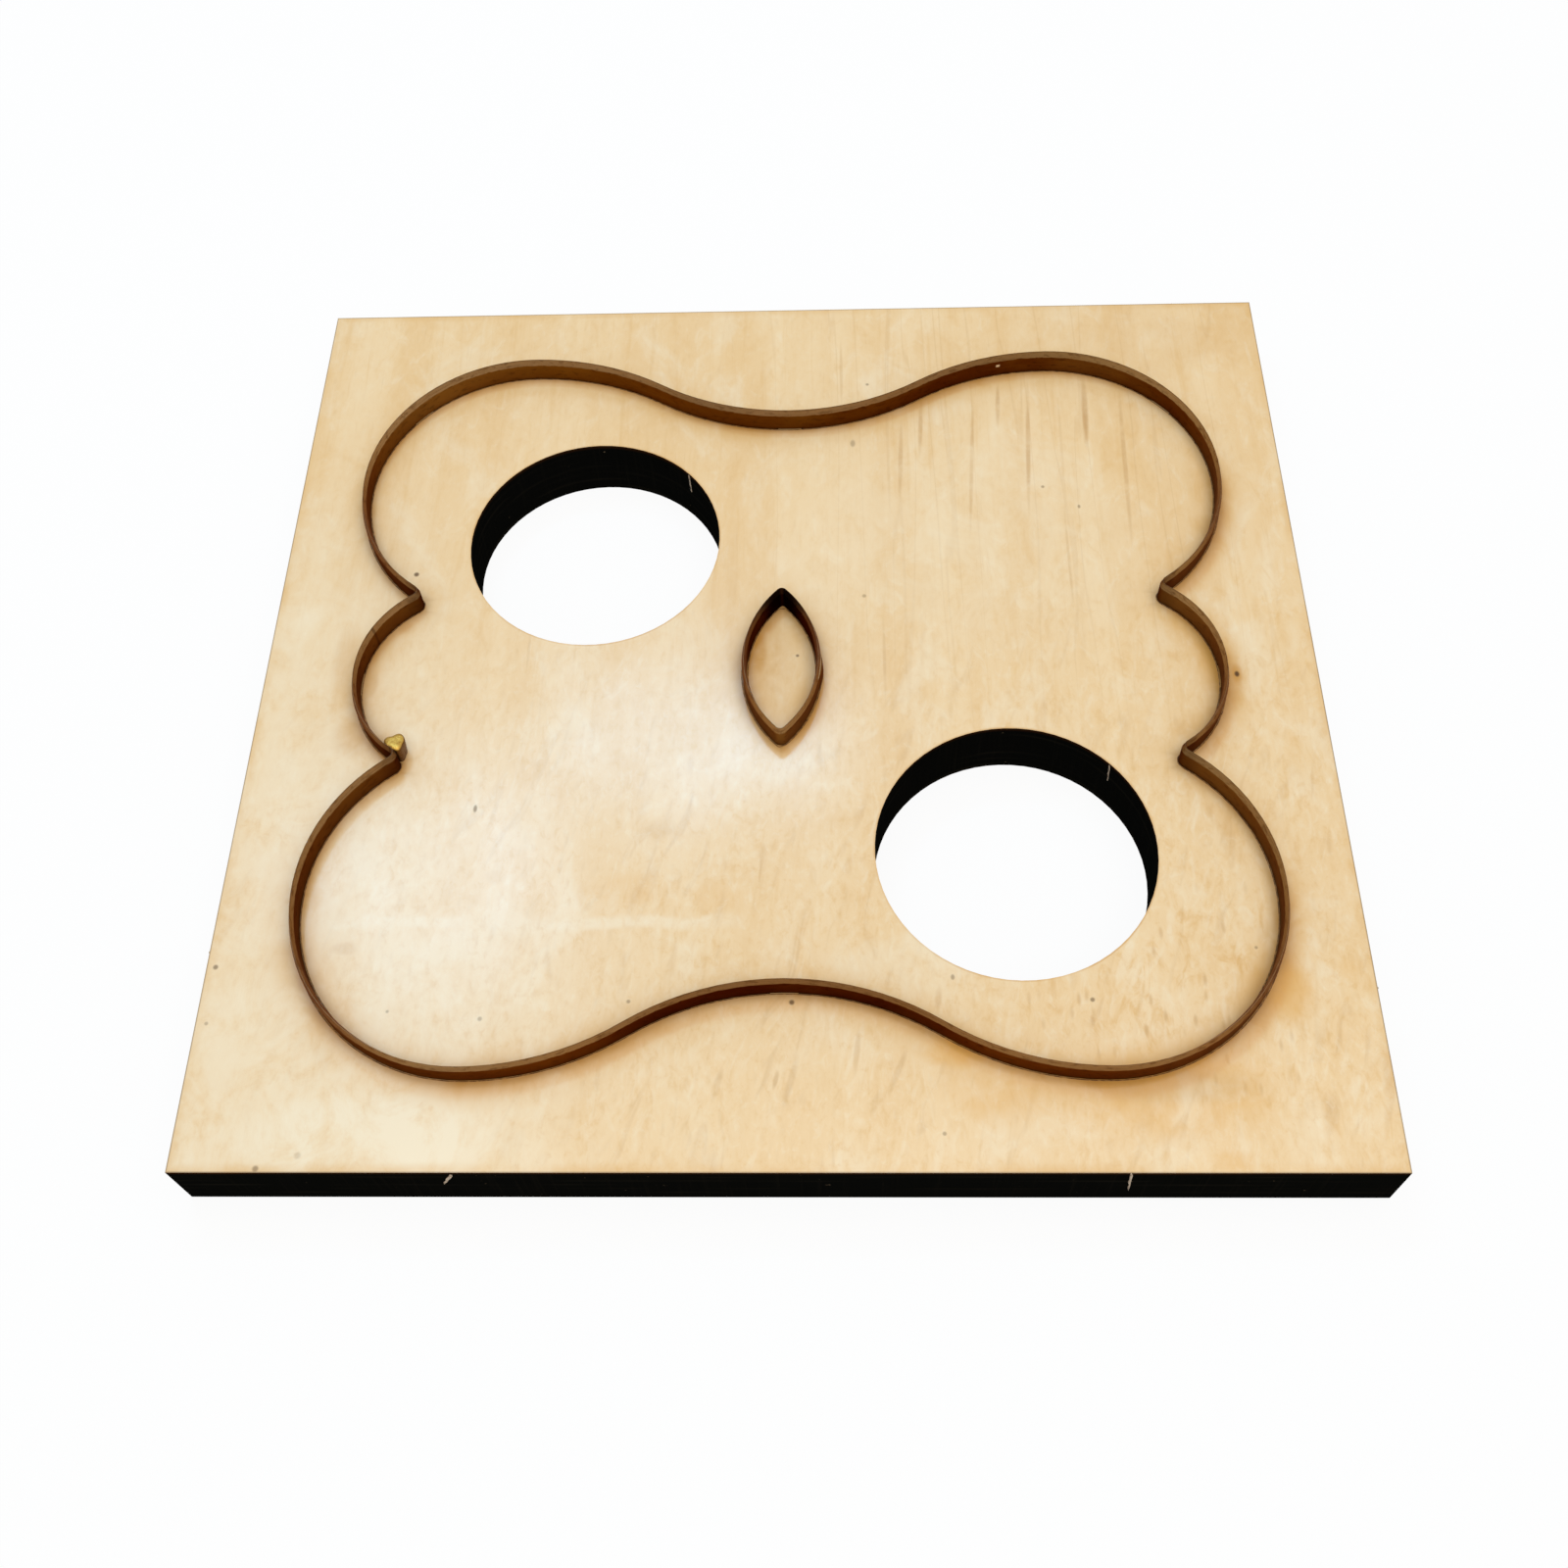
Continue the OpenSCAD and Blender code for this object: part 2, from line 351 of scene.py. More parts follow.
@dataclass(frozen=True)
class RuleLine:
    """The line that the rule follows: a lobed outline, symmetric both ways, and a pointed oval in it."""

    middle: Point = (0.4, -1.7)
    width: float = 215.0
    depth: float = 195.0
    lobe_r: float = 40.5
    shoulder_r: float = 64.0
    wave_dip: float = 19.1
    scallop_in: float = 5.4
    notch_in: float = 19.0
    notch_r: float = 1.5
    oval_middle: Point = (-0.9, 0.7)
    oval_w: float = 17.6
    oval_len: float = 40.4
    tip_gap: float = 0.3

    def quarter(self) -> list[Arc]:
        """Returns the bends of the rear right quarter, from the wave's middle to the scallop's crest."""
        lobe_x, lobe_y = self.width / 2 - self.lobe_r, self.depth / 2 - self.lobe_r
        shoulder_y = self.depth / 2 - self.shoulder_r
        dip_y = self.depth / 2 - self.wave_dip
        low = dip_y - shoulder_y
        wave_r = (lobe_x**2 + low**2 - self.shoulder_r**2) / (2 * (self.shoulder_r - low))
        wave_y = dip_y + wave_r
        wave_half = 90 + math.degrees(math.atan2(shoulder_y - wave_y, lobe_x))
        corner_x = self.width / 2 - self.notch_in
        corner_y = lobe_y - math.sqrt(self.lobe_r**2 - (corner_x - lobe_x) ** 2)
        rise = self.notch_in - self.scallop_in
        scallop_r = (rise**2 + corner_y**2) / (2 * rise)
        scallop_x = self.width / 2 - self.scallop_in - scallop_r
        notch_x, notch_y = self._meeting(
            (lobe_x, lobe_y), self.lobe_r + self.notch_r, (scallop_x, 0.0), scallop_r + self.notch_r
        )
        lobe_end = math.degrees(math.atan2(notch_y - lobe_y, notch_x - lobe_x))
        scallop_half = math.degrees(math.atan2(notch_y, notch_x - scallop_x))
        return [
            Arc(0.0, wave_y, wave_r, -90.0, -90.0 + wave_half, True),
            Arc(lobe_x, shoulder_y, self.shoulder_r, 90.0 + wave_half, 90.0),
            Arc(lobe_x, lobe_y, self.lobe_r, 90.0, lobe_end),
            Arc(notch_x, notch_y, self.notch_r, lobe_end + 180.0, scallop_half + 180.0, True),
            Arc(scallop_x, 0.0, scallop_r, scallop_half, 0.0),
        ]

    @staticmethod
    def _meeting(p: Point, p_r: float, q: Point, q_r: float) -> Point:
        """Finds where two circles meet.

        Args:
            p: First centre.
            p_r: First radius.
            q: Second centre.
            q_r: Second radius.

        Returns:
            The meeting point on the left of the way from the first centre to the second.
        """
        gap = math.dist(p, q)
        ux, uy = (q[0] - p[0]) / gap, (q[1] - p[1]) / gap
        along = (p_r**2 - q_r**2 + gap**2) / (2 * gap)
        aside = math.sqrt(p_r**2 - along**2)
        return p[0] + along * ux - aside * uy, p[1] + along * uy + aside * ux

    def notch_spot(self) -> Point:
        """Returns the innermost point of a notch, from the outline's middle."""
        notch = self.quarter()[3]
        return notch.spot((notch.first + notch.last) / 2, 0.0)

    def oval_side(self) -> Arc:
        """Returns the oval's right side, from the oval's middle."""
        radius = (self.oval_len**2 + self.oval_w**2) / (4 * self.oval_w)
        x = self.oval_w / 2 - radius
        half = math.degrees(math.atan2(self.oval_len / 2, -x))
        return Arc(x, 0.0, radius, half, -half)

    def outline_loop(self, aside: float, step: float) -> list[Point]:
        """Walks round the outline.

        Args:
            aside: How far outside the line, negative for inside.
            step: Length of one step.

        Returns:
            The points of the closed loop.
        """
        quarter = [point for arc in self.quarter() for point in arc.run(aside, step)]
        last = self.quarter()[-1].spot(0.0, aside)
        right = quarter + [last] + [(x, -y) for x, y in reversed(quarter)]
        left = [(-x, y) for x, y in reversed(right[1:-1])]
        return [(x + self.middle[0], y + self.middle[1]) for x, y in right + left]

    def oval_loop(self, aside: float, step: float) -> list[Point]:
        """Walks round the oval.

        Args:
            aside: How far outside the line, negative for inside.
            step: Length of one step.

        Returns:
            The points of the closed loop.
        """
        right = [p for p in self.oval_side().run(aside, step) if p[0] > self.tip_gap]
        loop = right + [(-x, -y) for x, y in right]
        return [(x + self.oval_middle[0], y + self.oval_middle[1]) for x, y in loop]

    def distance(self, place: Wire) -> Wire:
        """Adds the nodes that measure how far a place is from the rule.

        Args:
            place: The place, in millimetres, with no height.

        Returns:
            The distance in millimetres from the rule's middle.
        """
        reach = self.oval_side().distance(self.folded(place, self.oval_middle))
        folded = self.folded(place, self.middle)
        for arc in self.quarter():
            reach = reach.at_most(arc.distance(folded))
        return reach

    @staticmethod
    def folded(place: Wire, middle: Point) -> Wire:
        """Returns the place as it lies in the rear right quarter round a middle."""
        bench = place.bench
        return bench.vector("ABSOLUTE", bench.vector("SUBTRACT", place, (*middle, 0.0)))


@dataclass(frozen=True)
class Mark:
    """A soft mark; a lean over 1 draws it out from front to back, and one under 1 from side to side."""

    x: float
    y: float
    reach: float
    depth: float
    lean: float = 1.0
    slant: float = 0.0
    core: float = 0.35

    def amount(self, place: Wire) -> Wire:
        """Adds the nodes of the mark.

        Args:
            place: The place, in millimetres, with no height.

        Returns:
            How strong the mark is there, 0 to 1.
        """
        bench = place.bench
        away = bench.vector("SUBTRACT", place, (self.x, self.y, 0.0))
        across = bench.vector("DOT_PRODUCT", away, (1.0, -self.slant, 0.0), 1)
        along = bench.vector("DOT_PRODUCT", away, (0.0, 1.0 / self.lean, 0.0), 1)
        length = bench.vector("LENGTH", bench.join(across, along, 0.0), output=1)
        return length.ease(self.reach, self.reach * self.core) * self.depth


def strongest(marks: tuple[Mark, ...], place: Wire) -> Wire:
    """Returns how strong the strongest of some marks is at a place."""
    return reduce(Wire.at_least, (mark.amount(place) for mark in marks))


class Finish:
    """A procedural finish; a subclass paints it."""

    name = "finish"

    def paint(self, place: Wire) -> Wire:
        """Adds the finish's nodes.

        Args:
            place: Object coordinates in millimetres.

        Returns:
            The shader.
        """
        raise NotImplementedError

    def material(self) -> bpy.types.Material:
        """Returns a new material with the finish on it."""
        material = bpy.data.materials.new(self.name)
        material.use_nodes = True
        bench = Bench(material.node_tree)
        spot = bench.make("ShaderNodeTexCoord", None, None, "Object")
        place = bench.vector("MULTIPLY", spot, (1 / MM,) * 3)
        bench.node("ShaderNodeOutputMaterial", None, {"Surface": self.paint(place)})
        return material


@dataclass(frozen=True)
class ScorchedPlywood(Finish):
    """Sanded birch veneer on both faces, and walls that the laser has charred."""

    name: str = "scorched_plywood"
    rule: RuleLine = RuleLine()
    width: float = 250.0
    depth: float = 238.0
    thickness: float = 17.0
    ply: float = 1.31
    hole_r: float = 31.25
    holes: tuple[Point, Point] = ((-48.1, 40.3), (51.5, -46.7))
    rule_half: float = 0.53
    cream: Tint = Tint(250, 231, 198)
    pale: Tint = Tint(244, 211, 162)
    warm: Tint = Tint(238, 199, 143)
    amber: Tint = Tint(224, 172, 94)
    streak: Tint = Tint(192, 140, 72)
    burn: Tint = Tint(202, 143, 54)
    gold: Tint = Tint(230, 172, 80)
    soot: Tint = Tint(84, 54, 20)
    # colour of the painted shade laid right beside the rule
    contact_shade: Tint = Tint(88, 58, 34)
    char: Tint = Tint(13, 13, 11)
    ash: Tint = Tint(27, 24, 19)
    rim: Tint = Tint(74, 38, 8)
    chipped: Tint = Tint(150, 128, 100)
    band_y: float = -64.0
    flame_lean: float = 15.0
    specks_and_shadow_marks: tuple[Mark, ...] = (
        # not a speck: a broad, faint painted shadow of the rule on the board in front of the lower wave
        Mark(80.0, -101.0, 24.0, 0.10, 0.22),
        Mark(-92.1, 30.7, 0.9, 0.85),
        Mark(-70.4, -35.6, 0.6, 0.6, 2.2),
        Mark(2.0, -82.7, 0.8, 0.8),
        Mark(106.0, -1.1, 0.8, 0.95, 1.4),
        Mark(2.8, 5.3, 0.55, 0.7),
        Mark(64.7, 55.9, 0.6, 0.5),
        Mark(73.3, 49.4, 0.5, 0.5, 1.6),
        Mark(36.2, -77.1, 0.6, 0.5, 1.5),
        Mark(65.3, -82.3, 0.7, 0.65),
        Mark(19.0, 22.6, 0.7, 0.4),
        Mark(-123.0, -74.2, 0.8, 0.65),
        Mark(-122.6, -87.1, 0.6, 0.4),
        Mark(-64.1, -86.2, 0.7, 0.4),
        Mark(-84.1, -84.5, 0.5, 0.4),
        Mark(-98.4, -115.5, 1.0, 0.2),
        Mark(-106.6, -118.2, 0.9, 0.55),
        Mark(-32.7, -82.4, 0.6, 0.5),
        Mark(33.1, -111.0, 0.6, 0.45),
        Mark(101.0, -70.6, 0.5, 0.45),
        Mark(20.9, 91.4, 0.6, 0.5),
        Mark(16.8, 71.1, 0.9, 0.4, 1.8),
    )
    threads: tuple[Mark, ...] = (
        Mark(47.1, 63.2, 0.7, 0.40, 38.0, 0.064),
        Mark(54.9, 83.4, 0.8, 0.5, 11.0, 0.056),
        Mark(61.9, 69.3, 0.8, 0.5, 32.0, 0.057),
        Mark(77.4, 80.6, 1.1, 0.65, 13.0, 0.047),
        Mark(86.1, 63.7, 0.8, 0.4, 40.0, 0.03),
        Mark(34.5, 76.7, 0.8, 0.45, 15.0, 0.055),
        Mark(29.0, 65.5, 0.8, 0.40, 20.0, 0.043),
        Mark(69.5, 34.0, 0.5, 0.25, 40.0),
        Mark(23.5, 4.0, 0.55, 0.25, 26.0),
        Mark(-62.0, 8.0, 0.5, 0.25, 14.0),
        Mark(14.0, 96.0, 0.6, 0.25, 22.0),
        Mark(-13.3, -100.8, 1.1, 0.35, 4.0, 0.25),
        Mark(-1.2, -99.7, 0.7, 0.5, 3.6, 0.2),
        Mark(1.9, -100.0, 1.1, 0.3, 6.0, 0.27),
        Mark(15.6, -93.8, 0.9, 0.28, 7.0, 0.1),
        Mark(24.0, -98.0, 1.0, 0.3, 6.0, 0.4),
        Mark(33.0, -81.7, 1.0, 0.5, 3.4, 0.09),
    )
    stains: tuple[Mark, ...] = (
        Mark(-6.3, 7.0, 2.4, 0.9, 3.4),
        Mark(-93.0, 14.6, 3.4, 0.35, 0.7),
        Mark(-101.5, -17.0, 6.5, 0.36, 1.0),
        Mark(-98.8, -1.7, 2.0, 0.38, 2.6),
        Mark(-106.5, 6.0, 4.0, 0.22, 3.0),
        Mark(104.5, -1.5, 4.0, 0.4, 2.6),
        Mark(106.0, -1.0, 1.7, 0.8, 2.2),
        Mark(-4.0, 1.5, 7.6, 0.30, 2.1),
        Mark(-95.0, -70.0, 4.0, 0.24, 0.5),
        Mark(-64.0, -53.0, 3.0, 0.18, 0.8),
        Mark(96.0, 110.0, 46.0, 0.15, 0.5),
    )
    scorches: tuple[Mark, ...] = (
        Mark(107.0, -81.0, 7.0, 0.6, 1.3),
        Mark(36.0, -93.5, 9.0, 0.8, 0.55),
        Mark(44.0, -102.0, 16.0, 0.4, 0.6),
        Mark(80.0, -103.0, 30.0, 0.5, 0.45),
        Mark(120.2, -75.8, 3.5, 0.3),
        Mark(90.0, -116.5, 6.0, 0.35, 0.5),
        Mark(-34.0, -56.0, 12.0, 0.24, 0.45),
        Mark(-15.0, -58.0, 8.0, 0.22, 0.6),
    )
    # paler patches: partly pale veneer, partly painted glare
    pale_and_glare_marks: tuple[Mark, ...] = (
        Mark(-86.0, -112.0, 44.0, 0.9, 0.4),
        Mark(46.0, 38.0, 54.0, 0.26, 0.8),
        Mark(24.0, -76.0, 18.0, 0.4, 0.6),
    )
    dulled: Mark = Mark(-0.9, 0.7, 14.0, 0.9, 1.9)
    # spots where the colour along the rule is stronger: partly laser scorch, partly painted shadow of the
    # rule on the board
    scorch_and_shadow_marks: tuple[Mark, ...] = (
        Mark(-98.0, -85.0, 20.0, 0.6),
        Mark(-108.0, -64.0, 16.0, 0.9),
        Mark(-66.0, -101.0, 20.0, 0.8),
        Mark(-32.0, -92.0, 22.0, 0.7),
        Mark(30.0, -97.0, 17.0, 0.9),
        Mark(105.0, -82.0, 15.0, 1.0),
        Mark(114.0, -62.0, 14.0, 0.6),
        Mark(78.0, -101.0, 28.0, 1.0),
        Mark(46.0, 88.0, 24.0, 0.6),
        Mark(112.0, 44.0, 20.0, 0.7),
        Mark(-27.0, 78.0, 24.0, 0.5),
        Mark(105.0, -1.0, 24.0, 0.9),
        Mark(-100.0, -4.0, 24.0, 0.8),
        Mark(-0.9, 0.7, 18.0, 0.8, 1.6),
    )

    def paint(self, place: Wire) -> Wire:
        """Paints veneer on the faces and char on the walls.

        Args:
            place: Object coordinates in millimetres.

        Returns:
            The shader.
        """
        bench = place.bench
        face = abs(bench.facing()).ease(0.4, 0.6)
        walls, veneer = self._walls(place), self._veneer(place)
        return bench.make("ShaderNodeMixShader", None, {0: face, 1: walls, 2: veneer})

    def _veneer(self, place: Wire) -> Wire:
        """Paints the sanded faces.

        Args:
            place: Object coordinates in millimetres.

        Returns:
            The shader.
        """
        bench = place.bench
        fibre = bench.noise(place, (2.0, 0.11, 0.3), 3.0, 0.6)
        flat = bench.vector("MULTIPLY", place, FLATTEN)
        patch = bench.noise(place, (0.1, 0.1, 0.05), 3.0, 0.6, 0.5).ease(0.28, 0.62)
        patchy, spotty = 0.35 + 0.65 * patch, 0.15 + 0.85 * patch
        # soot specks and one painted shadow of the rule; the coat is duller under both
        specks_and_shadow = strongest(self.specks_and_shadow_marks, flat)
        colour = bench.layer(
            self._burns(flat, self._wood(flat, fibre)),
            *((self.streak, thread.amount(flat) * patchy) for thread in self.threads),
            *((self.burn, stain.amount(flat) * patchy) for stain in self.stains),
            *((self.gold, scorch.amount(flat) * spotty) for scorch in self.scorches),
            (self.soot, specks_and_shadow),
        )
        gloss = bench.noise(place, (0.035, 0.022, 0.02), 3.0, 0.6)
        dull = specks_and_shadow.at_least(self.dulled.amount(flat))
        return bench.surface(
            {
                "Base Color": colour,
                "Roughness": 0.46 + gloss * 0.16,
                "Specular IOR Level": 0.25,
                "Coat Weight": (0.42 + gloss.ease(0.30, 0.70) * 0.34) * (1 - dull),
                "Coat Roughness": 0.17,
                "Normal": bench.bump(fibre, 0.11, 0.2),
            }
        )

    def _wood(self, flat: Wire, fibre: Wire) -> Wire:
        """Paints the bare wood, with its grain from front to back, and paler patches that are partly pale
        veneer and partly painted glare.

        Args:
            flat: The place, in millimetres, with no height.
            fibre: The finest grain.

        Returns:
            The colour.
        """
        bench = flat.bench
        x, y, _ = bench.split(flat)
        rear = y.ease(-45, 40)
        front = (1 - rear) * (0.35 + 0.65 * x.ease(-95, -5))
        right = x.ease(-20, 125) * y.ease(110, -20)
        flecked = x.ease(35, 75) * x.ease(112, 98) * y.ease(-45, -75) * y.ease(-112, -96)
        band = bench.noise(flat, (0.06, 0.004, 0.01), 3.0, 0.55, 0.3).ease(0.36, 0.66)
        cloud = bench.noise(flat, (0.05, 0.035, 0.05), 4.0, 0.62, 0.9)
        mottle = bench.noise(flat, (0.20, 0.10, 0.05), 4.0, 0.62, 1.0)
        grain = bench.noise(flat, (0.34, 0.018, 0.05), 4.0, 0.62, 0.5)
        swing = {"Vector": flat, "Angle": math.radians(self.flame_lean)}
        leaning = bench.make("ShaderNodeVectorRotate", {"rotation_type": "Z_AXIS"}, swing)
        flame = bench.noise(leaning, (0.20, 0.05, 0.05), 2.5, 0.55, 1.2)
        grit = bench.noise(flat, (0.50, 0.32, 0.3), 3.0, 0.65, 0.4)
        stretched = bench.vector("MULTIPLY", flat, (0.40, 0.13, 0.2))
        cell = bench.make("ShaderNodeTexVoronoi", None, {"Vector": stretched, "Scale": 1.0}, "Distance")
        line = abs(bench.noise(flat, (0.10, 0.0040, 0.02), 2.0, 0.5, 0.3) - 0.5).ease(0.012, 0.002)
        wander = bench.noise(flat, (0.05, 0.05, 0.05), 2.0) * 5 - 2.5
        ridge = abs(y - self.band_y + wander).ease(2.2, 0.5) * x.ease(-6, -16) * x.ease(-104, -97)
        ridge = ridge * (1 - 0.75 * x.ease(-76, -68) * x.ease(-46, -54))
        # paler on the left and the front left: partly pale veneer, partly painted glare
        left_side = x.ease(-62, -108) * y.ease(70, 10) * 0.42
        left_front = x.ease(-25, -75) * y.ease(-58, -86) * 0.55
        pale_and_glare = left_side.at_least(left_front).at_least(strongest(self.pale_and_glare_marks, flat))
        blotch = bench.noise(flat, (0.075, 0.06, 0.05), 5.0, 0.68, 0.9).ease(0.34, 0.64)
        return bench.layer(
            self.pale,
            (self.warm, band * (0.35 + 0.60 * rear)),
            (self.cream, cloud.ease(0.50, 0.72) * 0.42),
            (self.amber, cloud.ease(0.48, 0.26) * 0.26),
            (self.amber, mottle.ease(0.50, 0.74) * (0.20 + 0.18 * right + 0.34 * flecked)),
            (self.cream, mottle.ease(0.46, 0.28) * (0.26 + 0.18 * right)),
            (self.amber, grain.ease(0.50, 0.74) * (0.10 + 0.14 * rear)),
            (self.streak, flame.ease(0.54, 0.80) * (0.05 + 0.24 * front)),
            (self.cream, flame.ease(0.43, 0.28) * (0.08 + 0.26 * front)),
            (self.streak, fibre.ease(0.58, 0.82) * (0.06 + 0.10 * rear)),
            (self.amber, grit.ease(0.52, 0.74) * (0.24 - 0.15 * rear)),
            (self.cream, grit.ease(0.47, 0.28) * (0.26 - 0.15 * rear)),
            (self.streak, cell.ease(0.27, 0.04) * (0.07 + 0.38 * flecked)),
            (self.streak, line * rear * x.ease(-50, 30) * 0.13),
            (self.cream, ridge * (0.16 + 0.40 * mottle.ease(0.40, 0.60))),
            (self.cream, pale_and_glare * (0.45 + 0.75 * blotch)),
            (self.amber, (1 - blotch) * grit.ease(0.42, 0.66) * (0.16 - 0.10 * rear)),
        )

    def _burns(self, flat: Wire, colour: Wire) -> Wire:
        """Lays the laser's scorching along the rule and the cut edges, and painted shade and shadow beside
        the rule.

        Args:
            flat: The place, in millimetres, with no height.
            colour: The wood's colour.

        Returns:
            The scorched colour.
        """
        bench = flat.bench
        x, y, _ = bench.split(flat)
        near = self.rule.distance(flat) - self.rule_half
        edge = (self.width / 2 - abs(x)).at_most(self.depth / 2 - abs(y))
        rims = [abs(bench.reach(flat, hole) - self.hole_r) for hole in self.holes]
        blot = bench.noise(flat, (0.055, 0.055, 0.05), 3.0, 0.55, 0.6).ease(0.36, 0.70)
        # stronger scorch and painted shadow of the rule at these spots
        scorch_and_shadow = strongest(self.scorch_and_shadow_marks, flat) * (0.45 + 0.55 * blot)
        return bench.layer(
            colour,
            (self.amber, near.ease(8.0, 0.3) * (0.20 + 0.32 * blot + 0.48 * scorch_and_shadow)),
            (self.burn, near.ease(4.5, 0.0) * (0.12 * blot + 0.45 * scorch_and_shadow)),
            (self.burn, near.ease(2.0, 0.0) * (0.28 + 0.35 * blot)),
            # painted shade: a soft darkening right beside the rule, where its shadow falls on the board
            (self.contact_shade, near.ease(3.2, 0.0) * 0.18),
            (self.soot, near.ease(0.4, 0.05) * 0.2),
            (self.amber, edge.ease(2.6, 0.2) * (0.10 + 0.4 * blot)),
            (self.soot, edge.ease(0.40, 0.05) * 0.6),
            *((self.burn, rim.ease(0.55, 0.05) * (0.20 + 0.45 * blot)) for rim in rims),
        )

    def _walls(self, place: Wire) -> Wire:
        """Paints the charred walls, with the plies faintly showing.

        Args:
            place: Object coordinates in millimetres.

        Returns:
            The shader.
        """
        bench = place.bench
        height = bench.split(place)[2]
        wobble = bench.noise(place, (0.03, 0.03, 0.1), 2.0) * 0.6
        plies = (height + wobble).zigzag(self.ply).ease(self.ply * 0.45, self.ply * 0.98)
        patch = bench.noise(place, (0.035, 0.035, 0.30), 3.0, 0.6).ease(0.45, 0.75)
        striae = bench.noise(place, (1.4, 1.4, 0.04), 2.0).ease(0.5, 0.8)
        top = height.ease(self.thickness - 1.5, self.thickness - 0.1)
        chips = bench.noise(place, (0.55, 0.55, 0.75), 3.0, 0.6).ease(0.73, 0.78)
        colour = bench.layer(
            self.char,
            (self.ash, plies * patch),
            (self.ash, striae * 0.3),
            (self.rim, top * (0.45 + 0.55 * patch)),
            (self.chipped, chips * 0.5),
        )
        return bench.surface(
            {
                "Base Color": colour,
                "Roughness": 0.66 + patch * 0.16,
                "Specular IOR Level": 0.0,
                "Normal": bench.bump(plies * 0.5 + striae * 0.5, 0.35, 0.2),
            }
        )


@dataclass(frozen=True)
class TemperedRule(Finish):
    """Brown tempered strip steel with a lighter, ground bevel."""

    name: str = "tempered_rule"
    rule: RuleLine = RuleLine()
    bevel_z: float = 21.99
    edge_z: float = 23.8
    board_z: float = 17.0
    face: Tint = Tint(86, 43, 6)
    straw: Tint = Tint(134, 92, 34)
    bevel: Tint = Tint(142, 112, 80)
    olive: Tint = Tint(136, 112, 74)
    scale: Tint = Tint(34, 12, 8)
    # colour of the painted highlight on the bevel
    lit: Tint = Tint(172, 142, 104)
    edge: Tint = Tint(92, 62, 34)
    sheen: Tint = Tint(140, 84, 30)
    # colour of a painted glint on the rule's face
    bare: Tint = Tint(236, 226, 214)
    nick: Mark = Mark(-98.7, 9.8, 0.6, 0.45)
    glint_spot: Mark = Mark(55.3, 94.1, 0.7, 0.9)
    glint_z: float = 20.4
    tip_off: float = 20.0

    def paint(self, place: Wire) -> Wire:
        """Paints temper colours on the faces and grinding on the bevel, with painted light that makes the
        front, the rear left, the ends and the oval's lower sides lighter.

        Args:
            place: Object coordinates in millimetres.

        Returns:
            The shader.
        """
        bench, rule = place.bench, self.rule
        x, y, z = bench.split(place)
        flat = bench.vector("MULTIPLY", place, FLATTEN)
        temper = bench.noise(place, (0.06, 0.06, 0.1), 3.0, 0.6).ease(0.38, 0.72)
        drawn = bench.noise(place, (0.05, 0.05, 4.0), 3.0, 0.65)
        grind = bench.noise(place, (1.8, 1.8, 0.5), 2.0, 0.6)
        wear = bench.noise(place, (0.45, 0.45, 1.1), 3.0, 0.6, 0.4)
        # painted light: the rule is lighter on the front, the rear left, the ends (less at the rear right
        # shoulder) and the oval's lower sides
        near = y.ease(-84, -97)
        left = x.ease(30, -40) * y.ease(30, 70)
        oval = abs(x - rule.oval_middle[0]).ease(15, 10) * y.ease(8, -6) * y.ease(-45, -30)
        ends = x.ease(60, 104).at_least(x.ease(-60, -104) * 0.5)
        lighter_ends = ends * (1 - 0.9 * x.ease(60, 96) * y.ease(52, 78))
        temper_and_light = temper * 0.24 + near * 0.55 + left * 0.38 + lighter_ends * 0.5 + oval * 0.5
        face = bench.layer(
            self.face,
            (self.straw, temper_and_light + drawn.ease(0.5, 0.8) * 0.3),
            (self.olive, lighter_ends * 0.42 + oval * 0.5),
            (self.scale, wear.ease(0.48, 0.30) * 0.35),
        )
        ground = bench.layer(
            self.bevel,
            (self.olive, x.ease(20, 110)),
            # painted highlight on the bevel at the front, rear left, ends and oval
            (self.lit, near * 0.55 + left * 0.4 + ends * 0.6 + oval * 0.65),
            (self.straw, temper * 0.16 + grind.ease(0.5, 0.75) * 0.16),
            (self.edge, drawn.ease(0.50, 0.72) * 0.45),
            (self.edge, wear.ease(0.50, 0.70) * 0.55),
        )
        bevelled = (z + (wear - 0.5) * 0.9).ease(self.bevel_z - 0.12, self.bevel_z + 0.16)
        bent = bench.reach(rule.folded(flat, rule.middle), rule.notch_spot()).ease(6.0, 1.5) * 0.55
        tip = bench.reach(flat, (rule.oval_middle[0], rule.oval_middle[1] + self.tip_off))
        colour = bench.layer(
            face,
            (ground, bevelled),
            (self.edge, z.ease(self.edge_z - 0.22, self.edge_z - 0.04) * 0.6),
            (self.scale, bent * (0.6 + 0.3 * temper)),
            (self.scale, tip.ease(10.0, 3.0) * 0.92),
            # painted shade: darker at the foot, where the rule meets the board
            (self.scale, z.ease(self.board_z + 0.4, self.board_z) * 0.3),
            (self.scale, self.nick.amount(flat)),
            # painted glint: a tiny pale fleck on the upper wave's face
            (self.bare, self.glint_spot.amount(flat) * abs(z - self.glint_z).ease(0.5, 0.3)),
        )
        return bench.surface(
            {
                "Base Color": colour,
                "Roughness": 0.34 + drawn * 0.2,
                "Metallic": 1.0,
                "Specular Tint": self.sheen.rgba(),
                "Normal": bench.bump(drawn * 0.6 + grind * 0.4, 0.25, 0.08),
            }
        )


